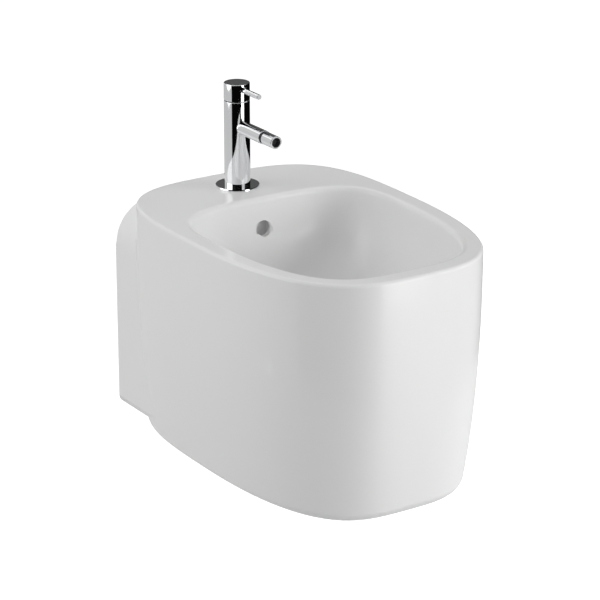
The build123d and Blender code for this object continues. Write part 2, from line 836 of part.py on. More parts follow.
def make_waste_lower_seal():
    """Tapered rubber seal pressed against the boss from below."""
    foot = -boss_height - lower_seal_height
    cone = Cone(lower_seal_radius, lower_seal_top_radius, lower_seal_height, align=LOW)
    seal = Pos(0, 0, foot) * cone
    return seal - upright(waste_tube_radius + thread_gap, foot, lower_seal_height)


def make_slip_washer():
    """Slip washer between the tapered seal and the back nut."""
    foot = -boss_height - lower_seal_height - slip_washer_thickness
    return ring(lower_seal_radius, waste_tube_radius + thread_gap, foot, slip_washer_thickness)


def make_waste_nut():
    """Hexagon back nut of the waste."""
    top = -boss_height - lower_seal_height - slip_washer_thickness
    foot = top - nut_height
    hexagon = RegularPolygon(nut_across_flats / 2, 6, major_radius=False)
    nut = extrude(Pos(0, 0, foot) * hexagon, nut_height)
    return nut - upright(waste_tube_radius + thread_gap, foot, nut_height)


def make_latch():
    """Housing of the push latch, held in the bridge."""
    housing = upright(latch_radius, latch_foot_z, latch_length)
    housing += upright(bridge_hub_radius, latch_foot_z, latch_drop)
    room = latch_length - 2 * latch_wall
    housing -= upright(latch_radius - latch_wall, latch_foot_z + latch_wall, room)
    cap_z = latch_foot_z + latch_length - latch_wall
    return housing - upright(spindle_radius + moving_gap, cap_z, latch_wall)


def make_spindle():
    """Spindle and piston that carry the stopper."""
    top = stopper_gap + stopper_edge
    piston = upright(piston_radius, piston_z, piston_height)
    return piston + upright(spindle_radius, piston_z, top - piston_z)


def make_spring():
    """Return spring under the piston."""
    foot = latch_foot_z + latch_wall + spring_wire_radius + spring_end_gap
    height = piston_z - spring_end_gap - spring_wire_radius - foot
    path = Helix(height / spring_turns, height, spring_radius)
    section = Plane(origin=path @ 0, z_dir=path % 0) * Circle(spring_wire_radius)
    return Pos(0, 0, foot) * sweep(section, path=path)


def stopper_groove(outer):
    """Ring of the seal's height around the skirt, out to a given radius."""
    inner = stopper_skirt_radius - stopper_groove_depth
    return ring(outer, inner, stopper_gap - stopper_groove_drop, stopper_seal_thickness)


def make_stopper():
    """Domed stopper with the skirt that carries its seal."""
    edge_top = stopper_gap + stopper_edge
    skirt_z = stopper_gap - stopper_skirt_height
    dome_radius = (stopper_radius ** 2 + stopper_crown ** 2) / (2 * stopper_crown)
    ball = Pos(0, 0, edge_top + stopper_crown - dome_radius) * Sphere(dome_radius)
    cap = upright(stopper_radius, stopper_gap, stopper_edge)
    cap += ball & upright(stopper_radius, edge_top, stopper_crown + overrun)
    skirt_inner = stopper_skirt_radius - stopper_skirt_wall
    cap += ring(stopper_skirt_radius, skirt_inner, skirt_z, stopper_skirt_height)
    cap += upright(stopper_hub_radius, skirt_z, stopper_skirt_height)
    cap -= upright(spindle_radius, skirt_z, edge_top - skirt_z)
    return cap - stopper_groove(stopper_skirt_radius + overrun)


def make_stopper_seal():
    """Rubber ring in the groove of the stopper's skirt."""
    return stopper_groove(stopper_seal_radius)


def on_deck(shape):
    """Move a piece of the tap from its own axis to its place on the deck."""
    return Pos(0, -tap_from_wall, rim_z) * shape


def in_drain(shape):
    """Move a piece of the waste from its own axis to its place in the basin floor."""
    return Pos(0, -drain_from_wall, basin_floor_z) * shape


clamp_z = deck_under_z - clamp_thickness
pieces = {
    "ceramic_body": make_ceramic(),
    "fixing_sleeves": make_sleeves(),
    "tap_body": on_deck(make_tap_body()),
    "tap_flange": on_deck(make_flange()),
    "tap_deck_seal": on_deck(make_deck_seal()),
    "tap_fixing_stud": on_deck(upright(stud_radius, stud_depth - stud_length, stud_length, 0, stud_y)),
    "tap_clamp_gasket": on_deck(make_clamp(clamp_z, clamp_thickness)),
    "tap_clamp_plate": on_deck(make_clamp(clamp_z - clamp_thickness, clamp_thickness)),
    "tap_fixing_nut": on_deck(make_stud_nut(clamp_z - clamp_thickness - stud_nut_height)),
    "cartridge_base": on_deck(make_cartridge_base()),
    "cartridge_port_seals": [on_deck(seal) for seal in make_port_seals()],
    "cartridge_shell": on_deck(make_cartridge_shell()),
    "cartridge_fixed_disc": on_deck(make_fixed_disc()),
    "cartridge_moving_disc": on_deck(make_moving_disc()),
    "cartridge_turret": on_deck(make_turret()),
    "cartridge_nut": on_deck(make_cartridge_nut()),
    "lever_pin": on_deck(make_pin()),
    "lever_stem": on_deck(make_stem()),
    "lever_hub": on_deck(make_hub()),
    "lever_rod": on_deck(make_rod()),
    "lever_grub_screw": on_deck(make_grub()),
    "lever_screw_plug": on_deck(make_plug()),
    "spout_tube": on_deck(make_spout()),
    "spout_ring": on_deck(make_spout_ring()),
    "swivel_ball": on_deck(make_ball()),
    "swivel_seat": on_deck(make_seat()),
    "nozzle_shell": on_deck(make_nozzle()),
    "nozzle_aerator": on_deck(make_aerator()),
    "nozzle_end_ring": on_deck(make_end_ring()),
    "waste_body": in_drain(make_waste_body()),
    "waste_top_seal": in_drain(make_waste_top_seal()),
    "waste_lower_seal": in_drain(make_waste_lower_seal()),
    "waste_slip_washer": in_drain(make_slip_washer()),
    "waste_nut": in_drain(make_waste_nut()),
    "stopper_latch": in_drain(make_latch()),
    "stopper_spindle": in_drain(make_spindle()),
    "stopper_spring": in_drain(make_spring()),
    "stopper_cap": in_drain(make_stopper()),
    "stopper_seal": in_drain(make_stopper_seal()),
}

os.makedirs("parts", exist_ok=True)
for name, piece in pieces.items():
    solids = piece if isinstance(piece, list) else [piece]
    shape = Compound(children=[s for group in solids for s in group.solids()])
    if len(shape.solids()) == 1:
        shape = shape.solids()[0]
    export_step(shape, f"parts/{name}.step")
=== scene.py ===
"""Wall-hung bidet with a chrome single-lever mixer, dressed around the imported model.

Every piece is in metres, in the model's own frame: +Z is up, the front faces -Y and the wall is the
plane y = 0.
"""

import json
import logging
import math
from collections.abc import Callable
from dataclasses import dataclass
from enum import Enum

import bmesh
import bpy
import numpy as np
from mathutils import Matrix, Vector

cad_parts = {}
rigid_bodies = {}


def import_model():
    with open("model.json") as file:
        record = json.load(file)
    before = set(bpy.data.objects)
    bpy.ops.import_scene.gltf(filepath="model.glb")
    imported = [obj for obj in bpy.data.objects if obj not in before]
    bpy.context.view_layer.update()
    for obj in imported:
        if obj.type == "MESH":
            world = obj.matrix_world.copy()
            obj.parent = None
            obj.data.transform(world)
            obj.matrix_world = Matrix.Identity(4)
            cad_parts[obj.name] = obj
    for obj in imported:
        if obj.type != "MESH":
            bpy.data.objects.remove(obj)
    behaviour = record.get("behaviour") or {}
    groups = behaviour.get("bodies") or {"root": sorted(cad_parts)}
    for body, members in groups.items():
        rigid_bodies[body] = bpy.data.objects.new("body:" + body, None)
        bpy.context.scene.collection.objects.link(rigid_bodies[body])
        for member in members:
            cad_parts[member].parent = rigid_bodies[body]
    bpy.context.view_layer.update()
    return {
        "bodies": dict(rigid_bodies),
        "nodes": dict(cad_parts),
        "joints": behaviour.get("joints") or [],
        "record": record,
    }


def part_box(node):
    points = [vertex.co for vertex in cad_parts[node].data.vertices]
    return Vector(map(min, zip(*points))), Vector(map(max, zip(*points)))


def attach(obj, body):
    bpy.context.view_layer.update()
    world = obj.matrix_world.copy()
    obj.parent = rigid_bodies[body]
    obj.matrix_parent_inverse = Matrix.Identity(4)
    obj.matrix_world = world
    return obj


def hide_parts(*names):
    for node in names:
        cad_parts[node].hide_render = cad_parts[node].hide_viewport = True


logging.basicConfig(level=logging.INFO, format="%(name)s: %(message)s")
log = logging.getLogger("bidet")

Array = np.ndarray
MM = 0.001
WELD = 2e-6  # metres within which loose corners become one
LEAST = 1e-9  # smallest length that a way is divided by
FAR = 1e3  # gap in millimetres that stands for a surface that doesn't reach a point
WHITE = (1.0, 1.0, 1.0, 1.0)
BLACK = (0.0, 0.0, 0.0, 1.0)


# ---------------------------------------------------------------------------------------------
# Finishes
# ---------------------------------------------------------------------------------------------


TINT_DETAIL, GLOSS_DETAIL, RELIEF_DETAIL = 3.0, 4.0, 2.0
GLOSS_FINER = 3.0  # times that the drift in gloss is finer than the drift in colour


class Grain(Enum):
    """How a finish's pattern runs: the value is how much it is squeezed along each axis."""

    EVEN = (1.0, 1.0, 1.0)
    TURNED = (1.0, 1.0, 14.0)


@dataclass(frozen=True)
class Finish:
    """One surface finish: a shader with a little drift in its colour, gloss and relief.

    The drift and the relief are noise on Object coordinates, in metres, so that they stay on the
    surface from every side.
    """

    name: str
    color: tuple[float, float, float]
    roughness: float
    metallic: float = 0.0
    coat: float = 0.0
    coat_roughness: float = 0.03
    ior: float = 1.5
    drift: float = 0.02
    drift_scale: float = 12.0
    gloss_drift: float = 0.02
    relief: float = 0.00002
    relief_scale: float = 60.0
    grain: Grain = Grain.EVEN

    def material(self) -> bpy.types.Material:
        """Build the finish's node material once.

        Returns:
            The material, made on the first call and found by its name afterwards.
        """
        found = bpy.data.materials.get(self.name)
        if found is not None:
            return found
        made = bpy.data.materials.new(self.name)
        made.use_nodes = True
        nodes, links = made.node_tree.nodes, made.node_tree.links
        shader = nodes["Principled BSDF"]
        shader.inputs["Metallic"].default_value = self.metallic
        shader.inputs["IOR"].default_value = self.ior
        shader.inputs["Coat Weight"].default_value = self.coat
        shader.inputs["Coat Roughness"].default_value = self.coat_roughness
        place = nodes.new("ShaderNodeTexCoord")
        turn = nodes.new("ShaderNodeMapping")
        turn.inputs["Scale"].default_value = self.grain.value
        links.new(place.outputs["Object"], turn.inputs["Vector"])
        spot = turn.outputs["Vector"]
        self._tint(made.node_tree, spot, shader)
        self._soften(made.node_tree, spot, shader)
        self._emboss(made.node_tree, spot, shader)
        return made

    def _noise(self, tree: bpy.types.NodeTree, spot: bpy.types.NodeSocket, scale: float,
               detail: float) -> bpy.types.NodeSocket:
        """Add a noise over the surface.

        Args:
            tree: The material's node tree.
            spot: The socket that gives the place.
            scale: How many grains stand on a metre.
            detail: How many finer layers it has.

        Returns:
            The socket that carries the noise, from 0 to 1.
        """
        noise = tree.nodes.new("ShaderNodeTexNoise")
        noise.inputs["Scale"].default_value = scale
        noise.inputs["Detail"].default_value = detail
        tree.links.new(spot, noise.inputs["Vector"])
        return noise.outputs["Fac"]

    def _tint(self, tree: bpy.types.NodeTree, spot: bpy.types.NodeSocket,
              shader: bpy.types.Node) -> None:
        """Mix two near shades of the colour by a broad noise.

        Args:
            tree: The material's node tree.
            spot: The socket that gives the place.
            shader: The shader that takes the colour.
        """
        noise = self._noise(tree, spot, self.drift_scale, TINT_DETAIL)
        mix = tree.nodes.new("ShaderNodeMix")
        mix.data_type = "RGBA"
        light = [min(c * (1 + self.drift), 1.0) for c in self.color]
        dark = [c * (1 - self.drift) for c in self.color]
        mix.inputs["A"].default_value = (*dark, 1.0)
        mix.inputs["B"].default_value = (*light, 1.0)
        tree.links.new(noise, mix.inputs["Factor"])
        tree.links.new(mix.outputs["Result"], shader.inputs["Base Color"])

    def _soften(self, tree: bpy.types.NodeTree, spot: bpy.types.NodeSocket,
                shader: bpy.types.Node) -> None:
        """Let the roughness wander a little around its value.

        Args:
            tree: The material's node tree.
            spot: The socket that gives the place.
            shader: The shader that takes the roughness.
        """
        noise = self._noise(tree, spot, self.drift_scale * GLOSS_FINER, GLOSS_DETAIL)
        span = tree.nodes.new("ShaderNodeMapRange")
        span.inputs["To Min"].default_value = max(self.roughness - self.gloss_drift, 0.0)
        span.inputs["To Max"].default_value = self.roughness + self.gloss_drift
        tree.links.new(noise, span.inputs["Value"])
        tree.links.new(span.outputs["Result"], shader.inputs["Roughness"])

    def _emboss(self, tree: bpy.types.NodeTree, spot: bpy.types.NodeSocket,
                shader: bpy.types.Node) -> None:
        """Raise the finish's fine relief.

        Args:
            tree: The material's node tree.
            spot: The socket that gives the place.
            shader: The shader that takes the normal.
        """
        noise = self._noise(tree, spot, self.relief_scale, RELIEF_DETAIL)
        bump = tree.nodes.new("ShaderNodeBump")
        bump.inputs["Distance"].default_value = self.relief
        bump.inputs["Strength"].default_value = 1.0
        tree.links.new(noise, bump.inputs["Height"])
        tree.links.new(bump.outputs["Normal"], shader.inputs["Normal"])


WHITE_GLAZE = Finish(
    "white_glaze", (0.80, 0.80, 0.80), 0.46, coat=0.45, coat_roughness=0.12, drift=0.006,
    drift_scale=6.0, gloss_drift=0.03, relief=0.00006, relief_scale=22.0,
)
POLISHED_CHROME = Finish(
    "polished_chrome", (0.89, 0.90, 0.91), 0.045, metallic=1.0, drift=0.01, drift_scale=30.0,
    gloss_drift=0.015, relief=0.000004, relief_scale=90.0,
)
TURNED_BRASS = Finish(
    "turned_brass", (0.72, 0.52, 0.26), 0.32, metallic=1.0, drift=0.06, drift_scale=80.0,
    gloss_drift=0.06, relief=0.00003, relief_scale=420.0, grain=Grain.TURNED,
)
PLAIN_STEEL = Finish(
    "plain_steel", (0.56, 0.56, 0.57), 0.28, metallic=1.0, drift=0.04, drift_scale=90.0,
    gloss_drift=0.06, relief=0.00002, relief_scale=500.0, grain=Grain.TURNED,
)
BLACK_RUBBER = Finish(
    "black_rubber", (0.018, 0.018, 0.019), 0.62, drift=0.25, drift_scale=150.0,
    gloss_drift=0.08, relief=0.00005, relief_scale=900.0,
)
BLACK_PLASTIC = Finish(
    "black_plastic", (0.012, 0.012, 0.013), 0.38, drift=0.2, drift_scale=120.0,
    gloss_drift=0.05, relief=0.00002, relief_scale=700.0,
)
GREY_PLASTIC = Finish(
    "grey_plastic", (0.36, 0.37, 0.38), 0.42, drift=0.04, drift_scale=120.0,
    gloss_drift=0.05, relief=0.00002, relief_scale=600.0,
)
WHITE_PLASTIC = Finish(
    "white_plastic", (0.72, 0.72, 0.70), 0.36, drift=0.02, drift_scale=120.0,
    gloss_drift=0.05, relief=0.00002, relief_scale=600.0,
)
LAPPED_CERAMIC = Finish(
    "lapped_ceramic", (0.82, 0.81, 0.78), 0.18, drift=0.02, drift_scale=120.0,
    gloss_drift=0.04, relief=0.00001, relief_scale=600.0,
)

SLOT_FINISH = {
    "white_china": WHITE_GLAZE,
    "chrome_plate": POLISHED_CHROME,
    "brass": TURNED_BRASS,
    "steel": PLAIN_STEEL,
    "black_rubber": BLACK_RUBBER,
    "grey_plastic": GREY_PLASTIC,
    "white_plastic": WHITE_PLASTIC,
    "black_plastic": BLACK_PLASTIC,
    "disc_ceramic": LAPPED_CERAMIC,
}
# The jet's insert wears black plastic instead of its slot's finish: painted shade for the nozzle's
# deep, dark end. The cartridge's nut is nickel plated.
NODE_FINISH = {"nozzle_aerator": BLACK_PLASTIC, "cartridge_nut": PLAIN_STEEL}


# ---------------------------------------------------------------------------------------------
# Surfaces
# ---------------------------------------------------------------------------------------------


def grid_faces(rows: int, columns: int, close_rows: bool, close_columns: bool) -> Array:
    """Quads over a grid of points.

    Args:
        rows: Number of rows of points.
        columns: Number of points in a row.
        close_rows: Join the last row back to the first.
        close_columns: Join the last point of each row back to its first.

    Returns:
        One row of four point numbers per face: (i, j), (i, j+1), (i+1, j+1), (i+1, j).
    """
    i = np.arange(rows if close_rows else rows - 1)[:, None]
    j = np.arange(columns if close_columns else columns - 1)[None, :]
    below, after = (i + 1) % rows, (j + 1) % columns
    corners = [i * columns + j, i * columns + after, below * columns + after, below * columns + j]
    return np.stack(corners, axis=-1).reshape(-1, 4)


def make_piece(name: str, points: Array, faces: list[Array], finish: Finish, body: str,
               slot: str, sharp: float = 35.0) -> bpy.types.Object:
    """Put a mesh of points and faces into the scene as one piece.

    Args:
        name: The piece's name.
        points: Points in metres, one per row.
        faces: Arrays of faces, each with its own number of corners per row.
        finish: The finish that it wears.
        body: The body that it rides on.
        slot: The record's material slot; not used.
        sharp: Angle in degrees above which an edge stays hard.

    Returns:
        The object, at the origin, unturned.
    """
    mesh = bpy.data.meshes.new(name)
    corners = np.concatenate([f.ravel() for f in faces])
    counts = np.concatenate([np.full(len(f), f.shape[1]) for f in faces])
    starts = np.concatenate([[0], np.cumsum(counts)[:-1]])
    mesh.vertices.add(len(points))
    mesh.vertices.foreach_set("co", np.asarray(points, np.float32).ravel())
    mesh.loops.add(len(corners))
    mesh.loops.foreach_set("vertex_index", corners.astype(np.int32))
    mesh.polygons.add(len(counts))
    mesh.polygons.foreach_set("loop_start", starts.astype(np.int32))
    mesh.polygons.foreach_set("use_smooth", np.ones(len(counts), bool))
    mesh.update(calc_edges=True)
    mesh.validate()
    mesh.set_sharp_from_angle(angle=math.radians(sharp))
    mesh.materials.append(finish.material())
    piece = bpy.data.objects.new(name, mesh)
    bpy.context.scene.collection.objects.link(piece)
    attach(piece, body)
    return piece


class Ends(Enum):
    """How a surface that goes round an axis is finished at its first and last ring."""

    CAPPED = "capped"
    RING = "ring"


def round_axis(radius: Array, along: Array, centre: Array,
               ends: Ends) -> tuple[Array, list[Array]]:
    """Surface round an upright axis.

    Point (i, j) stands at turn j of the full circle, radius[i, j] out and along[i, j] up.

    Args:
        radius: Distances from the axis in millimetres, one row per ring.
        along: Heights in millimetres, in rows as radius.
        centre: Place of the axis' zero in the frame, in millimetres.
        ends: Whether the first and last rings are closed by poles or joined to each other.

    Returns:
        The points in metres and the arrays of faces, which point outwards where the rings rise
        along the outside.
    """
    rows, around = radius.shape
    turn = np.linspace(0, 2 * math.pi, around, endpoint=False)[None, :]
    points = np.stack([radius * np.cos(turn), radius * np.sin(turn), along], -1).reshape(-1, 3)
    faces = [grid_faces(rows, around, ends is Ends.RING, True)]
    if ends is Ends.CAPPED:
        poles = np.array([[0, 0, along[0].mean()], [0, 0, along[-1].mean()]])
        points = np.vstack([points, poles])
        low_pole = np.full(around, rows * around)
        here, last = np.arange(around), (rows - 1) * around
        after = (here + 1) % around
        faces.append(np.stack([low_pole, after, here], -1))
        faces.append(np.stack([low_pole + 1, last + here, last + after], -1))
    return (points + centre) * MM, faces


THREAD_DEPTH = 0.61  # of the pitch
FLANK_STRETCH, FLANK_CUT = 2.6, 0.8


def threaded(radius: float, pitch: float, low: float, high: float, around: int = 48,
             per_turn: int = 10) -> tuple[Array, Array]:
    """Rings of a rod with a cut thread that runs out at both ends.

    The ridge is a wave between 0 and 1 of z / pitch - turn, stretched and cut off to a flat crest
    and a flat root. It fades out over one pitch at each end. The radius is the rod's less the
    thread's depth times one minus the ridge.

    Args:
        radius: The crest's radius in millimetres.
        pitch: Rise of one turn in millimetres.
        low: Height of the foot in millimetres.
        high: Height of the top in millimetres.
        around: Number of points in a ring.
        per_turn: Number of rings in one turn's rise.

    Returns:
        The radii and the heights, one row per ring.
    """
    z = np.linspace(low, high, int((high - low) / pitch * per_turn) + 1)[:, None]
    turn = np.linspace(0, 1, around, endpoint=False)[None, :]
    wave = np.abs(2 * np.mod(z / pitch - turn, 1) - 1)
    ridge = np.clip(FLANK_STRETCH * wave - FLANK_CUT, 0, 1)
    fade = np.clip(np.minimum(z - low, high - z) / pitch, 0, 1)
    return radius - THREAD_DEPTH * pitch * (1 - ridge * fade), z + 0 * turn


CORNER_CIRCLE = 0.97  # of half the width across the flats
CORNER_ANGLE = math.radians(30)
MOUTH_SINK = 0.06  # of the width across the flats


def hexagon(across: float, bore: float, low: float, high: float,
            around: int = 144) -> tuple[Array, Array]:
    """Rings of a hexagon nut whose corners are turned off at an angle.

    The flat's distance from the axis at a turn is half the width across the flats over the
    cosine of the turn from the flat's middle. Each end falls off from a circle inside the flats
    by the angle's tangent times the distance beyond that circle.

    Args:
        across: Width across the flats in millimetres.
        bore: Radius of the threaded bore in millimetres.
        low: Height of the foot in millimetres.
        high: Height of the top in millimetres.
        around: Number of points in a ring, a multiple of 12.

    Returns:
        The radii and the heights, from the bore's foot round the outside to the bore's top.
    """
    turn = np.linspace(0, 2 * math.pi, around, endpoint=False)
    flat = across / 2
    side = flat / np.cos(np.mod(turn, math.pi / 3) - math.pi / 6)
    circle = np.full(around, flat * CORNER_CIRCLE)
    fall = (side - circle) * math.tan(CORNER_ANGLE)
    sink = min(MOUTH_SINK * across, (flat - bore) / 3)
    inner, mouth = np.full(around, bore), np.full(around, bore + sink)
    radius = np.stack([inner, mouth, circle, side, side, circle, mouth, inner])
    foot, top = np.full(around, low), np.full(around, high)
    rise = [foot + sink, foot, foot, foot + fall]
    drop = [top - fall, top, top, top - sink]
    return radius, np.stack(rise + drop)


def unit(ways: Array) -> Array:
    """Each row over its own length."""
    return ways / np.maximum(np.linalg.norm(ways, axis=1), LEAST)[:, None]


# ---------------------------------------------------------------------------------------------
# Ceramic body
# ---------------------------------------------------------------------------------------------


LEAST_SIZE = 1e-3  # millimetres, the smallest half width or length that an outline has


@dataclass
class Egg:
    """Level egg-shaped outline whose sizes change with height.

    Its front and its rear are superellipses: (across / half width) to the power wide plus
    (along / length) to the power deep is 1 on the outline, less inside and more outside.
    """

    half: Array
    front: Array
    rear: Array
    widest: Array
    front_power: tuple[Array, Array]
    rear_power: tuple[Array, Array]

    def level(self, x: Array, y: Array) -> Array:
        """How far points lie outside the outline, as a share: 0 on it.

        Args:
            x: Places across, in millimetres.
            y: Places along, in millimetres, with the front at -Y.

        Returns:
            The superellipse sum minus 1 for each point.
        """
        along = -y - self.widest
        ahead = along > 0
        length = np.where(ahead, self.front - self.widest, self.widest - self.rear)
        deep = np.where(ahead, self.front_power[0], self.rear_power[0])
        wide = np.where(ahead, self.front_power[1], self.rear_power[1])
        across = np.abs(x) / np.maximum(self.half, LEAST_SIZE)
        return across ** wide + (np.abs(along) / np.maximum(length, LEAST_SIZE)) ** deep - 1


@dataclass
class CeramicBody:
    """The glazed body: the model's own shape, shaded by the formulas of its moulded surfaces.

    The shape is a merged copy of the model's node. Its corners get the normals that the smooth
    formulas have there, so that the wide glazed faces reflect without facets. Sizes are
    millimetres, and places along the depth count forward from the wall. A corner takes a formula's
    normal within reach of its surface, where the cosine to its own face is above agree. Slopes are
    worked out over twice the step, and edges sharper than crease, in degrees, stay hard.
    """

    rim_z: float = 80.0
    foot_z: float = -278.0
    width: float = 380.0
    depth: float = 540.0
    rear: float = 2.0
    widest: float = 227.0
    side_taper: float = 23.5
    front_taper: float = 20.0
    taper_power: float = 2.5
    front_powers: tuple[float, float] = (2.48, 3.31)
    rear_powers: tuple[float, float] = (3.22, 3.48)
    foot_rear_powers: tuple[float, float] = (3.22, 4.6)
    rim_round: float = 5.0
    foot_round: float = 24.0
    column_half: float = 168.0
    column_top: float = 74.5
    column_foot: float = -251.5
    column_shoulder: float = -25.5
    column_power: float = 3.2
    column_corner: float = 14.0
    basin_width: float = 314.0
    basin_front: float = 507.0
    basin_rear: float = 138.0
    basin_widest: float = 250.0
    basin_depth: float = 150.0
    basin_lean: float = 5.0
    basin_curve: tuple[float, float] = (2.4, 0.56)
    basin_front_powers: tuple[float, float] = (2.6, 3.6)
    basin_rear_powers: tuple[float, float] = (2.9, 3.4)
    basin_round: float = 8.0
    drain: float = 290.0
    drain_flat: float = 42.0
    reach: float = 0.8
    agree: float = 0.82
    step: float = 0.02
    crease: float = 24.0

    def outside(self, z: Array) -> Egg:
        """Outline of the outside at heights z: it draws in towards the foot by a power law.

        Args:
            z: Heights in millimetres.

        Returns:
            The outline at each height.
        """
        share = np.clip((self.rim_z - z) / (self.rim_z - self.foot_z), 0, 1)
        taper = share ** self.taper_power
        rear = [a + (b - a) * share for a, b in zip(self.rear_powers, self.foot_rear_powers)]
        return Egg(
            self.width / 2 - self.side_taper * taper,
            self.depth - self.front_taper * taper,
            self.rear + 0 * share,
            self.widest + 0 * share,
            self.front_powers,
            tuple(rear),
        )

    def inside(self, z: Array) -> Egg:
        """Outline of the basin at heights z: it closes in on the drain as it nears the floor.

        Args:
            z: Heights in millimetres.

        Returns:
            The outline at each height. Above the rolled edge's foot it flares as a quarter round.
        """
        share = np.clip((self.rim_z - z) / self.basin_depth, 0, 1)
        start, end = self.basin_curve
        close = 1 - (1 - share ** start) ** end
        lean = self.basin_lean * share
        half = self.basin_width / 2 - lean
        front = self.basin_front - lean
        rear = self.basin_rear + lean
        drop = np.clip((self.rim_z - z) / self.basin_round, 0, 1)
        flare = self.basin_round * (1 - np.sqrt(np.clip(1 - (1 - drop) ** 2, 0, 1)))
        return Egg(
            half + (self.drain_flat - half) * close + flare,
            front + (self.drain + self.drain_flat - front) * close + flare,
            rear + (self.drain - self.drain_flat - rear) * close - flare,
            self.basin_widest + (self.drain - self.basin_widest) * close,
            tuple(a + (2.0 - a) * close for a in self.basin_front_powers),
            tuple(a + (2.0 - a) * close for a in self.basin_rear_powers),
        )

    def column(self, x: Array, z: Array) -> Array:
        """How far points lie outside the column's arch, as a share: 0 on it.

        Args:
            x: Places across, in millimetres.
            z: Heights in millimetres.

        Returns:
            The superellipse sum above the shoulder, and the plain half width below it, minus 1.
        """
        up = np.clip((z - self.column_shoulder) / (self.column_top - self.column_shoulder), 0, None)
        return (np.abs(x) / self.column_half) ** self.column_power + up ** self.column_power - 1

    def slope(self, level: Callable[[Array, Array, Array], Array],
              points: Array) -> tuple[Array, Array]:
        """Distance and normal of a level function, from its slope by small steps.

        Args:
            level: Function of (x, y, z) that is 0 on the surface.
            points: Points in millimetres.

        Returns:
            The signed distance to the surface, and the unit slope, for each point.
        """
        x, y, z = points.T
        rise = np.stack([
            level(x + dx, y + dy, z + dz) - level(x - dx, y - dy, z - dz)
            for dx, dy, dz in np.eye(3) * self.step
        ], -1) / (2 * self.step)
        size = np.maximum(np.linalg.norm(rise, axis=1), LEAST)
        return level(x, y, z) / size, rise / size[:, None]

    def choices(self, points: Array) -> list[tuple[Array, Array]]:
        """Distance and normal of each moulded surface at some points.

        Args:
            points: Points in millimetres.

        Returns:
            A pair of distance and unit normal for the side, the foot's and the rim's rounding, the
            column, the basin and its rolled edge.
        """
        z = points[:, 2]
        side_gap, side = self.slope(lambda x, y, z: self.outside(z).level(x, y), points)
        outward = unit(side * (1, 1, 0))
        out = [(side_gap, side)]
        edges = ((self.rim_z, self.rim_round, 1), (self.foot_z, self.foot_round, -1))
        for edge_z, radius, way in edges:
            lift = np.clip(1 - way * (edge_z - z) / radius, 0, 1)
            steep = np.sqrt(1 - lift ** 2)
            normal = outward * steep[:, None] + np.array([0, 0, way]) * lift[:, None]
            gap = side_gap + radius * (1 - steep)
            out.append((np.where(lift > 0, gap, FAR), normal))
        arch_gap, arch = self.slope(lambda x, y, z: self.column(x, z), points)
        straight = self.column_foot + self.column_corner
        out.append((np.where(z > straight, arch_gap, FAR), arch))
        bowl_gap, bowl = self.slope(lambda x, y, z: self.inside(z).level(x, y), points)
        out.append((np.where(z < self.rim_z - self.basin_round, bowl_gap, FAR), -bowl))
        drop = np.clip((self.rim_z - z) / self.basin_round, 0, 1)
        inward = unit(-bowl * (1, 1, 0))
        tilt = 1 - drop
        roll = inward * np.sqrt(1 - tilt ** 2)[:, None] + np.array([0, 0, 1]) * tilt[:, None]
        out.append((np.where(drop < 1, bowl_gap, FAR), roll))
        return out

    def build(self, frame: dict, finish: Finish) -> bpy.types.Object:
        """Make the glazed body from a merged copy of the model's node.

        Args:
            frame: The loaded frame.
            finish: Its glaze.

        Returns:
            The piece, which stands for the node.
        """
        node = frame["nodes"]["ceramic_body"]
        mesh = node.data.copy()
        mesh.name = "glazed_body"
        work = bmesh.new()
        work.from_mesh(mesh)
        bmesh.ops.remove_doubles(work, verts=work.verts, dist=WELD)
        work.to_mesh(mesh)
        work.free()
        mesh.polygons.foreach_set("use_smooth", np.ones(len(mesh.polygons), bool))
        mesh.set_sharp_from_angle(angle=math.radians(self.crease))
        piece = bpy.data.objects.new("glazed_body", mesh)
        bpy.context.scene.collection.objects.link(piece)
        mesh.materials.clear()
        mesh.materials.append(finish.material())
        mesh.normals_split_custom_set(self.normals(mesh))
        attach(piece, "root")
        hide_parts("ceramic_body")
        return piece

    def normals(self, mesh: bpy.types.Mesh) -> Array:
        """Normals for every face corner: a formula's where the corner lies on its surface.

        Args:
            mesh: The merged copy of the node.

        Returns:
            One unit normal per corner.
        """
        spots = np.empty(len(mesh.vertices) * 3, np.float32)
        mesh.vertices.foreach_get("co", spots)
        spots = spots.reshape(-1, 3).astype(float) / MM
        corner = np.empty(len(mesh.loops), np.int32)
        mesh.loops.foreach_get("vertex_index", corner)
        flat = np.empty(len(mesh.polygons) * 3, np.float32)
        mesh.polygons.foreach_get("normal", flat)
        count = np.empty(len(mesh.polygons), np.int32)
        mesh.polygons.foreach_get("loop_total", count)
        flat = np.repeat(flat.reshape(-1, 3).astype(float), count, axis=0)
        soft = np.empty(len(mesh.loops) * 3, np.float32)
        mesh.corner_normals.foreach_get("vector", soft)
        best = soft.reshape(-1, 3).astype(float)
        nearest = np.full(len(corner), self.reach)
        for gap, normal in self.choices(spots):
            gap, normal = np.abs(gap[corner]), normal[corner]
            fits = (gap < nearest) & ((normal * flat).sum(1) > self.agree)
            best[fits] = normal[fits]
            nearest[fits] = gap[fits]
        return best


# ---------------------------------------------------------------------------------------------
# Threaded fixings under the body
# ---------------------------------------------------------------------------------------------


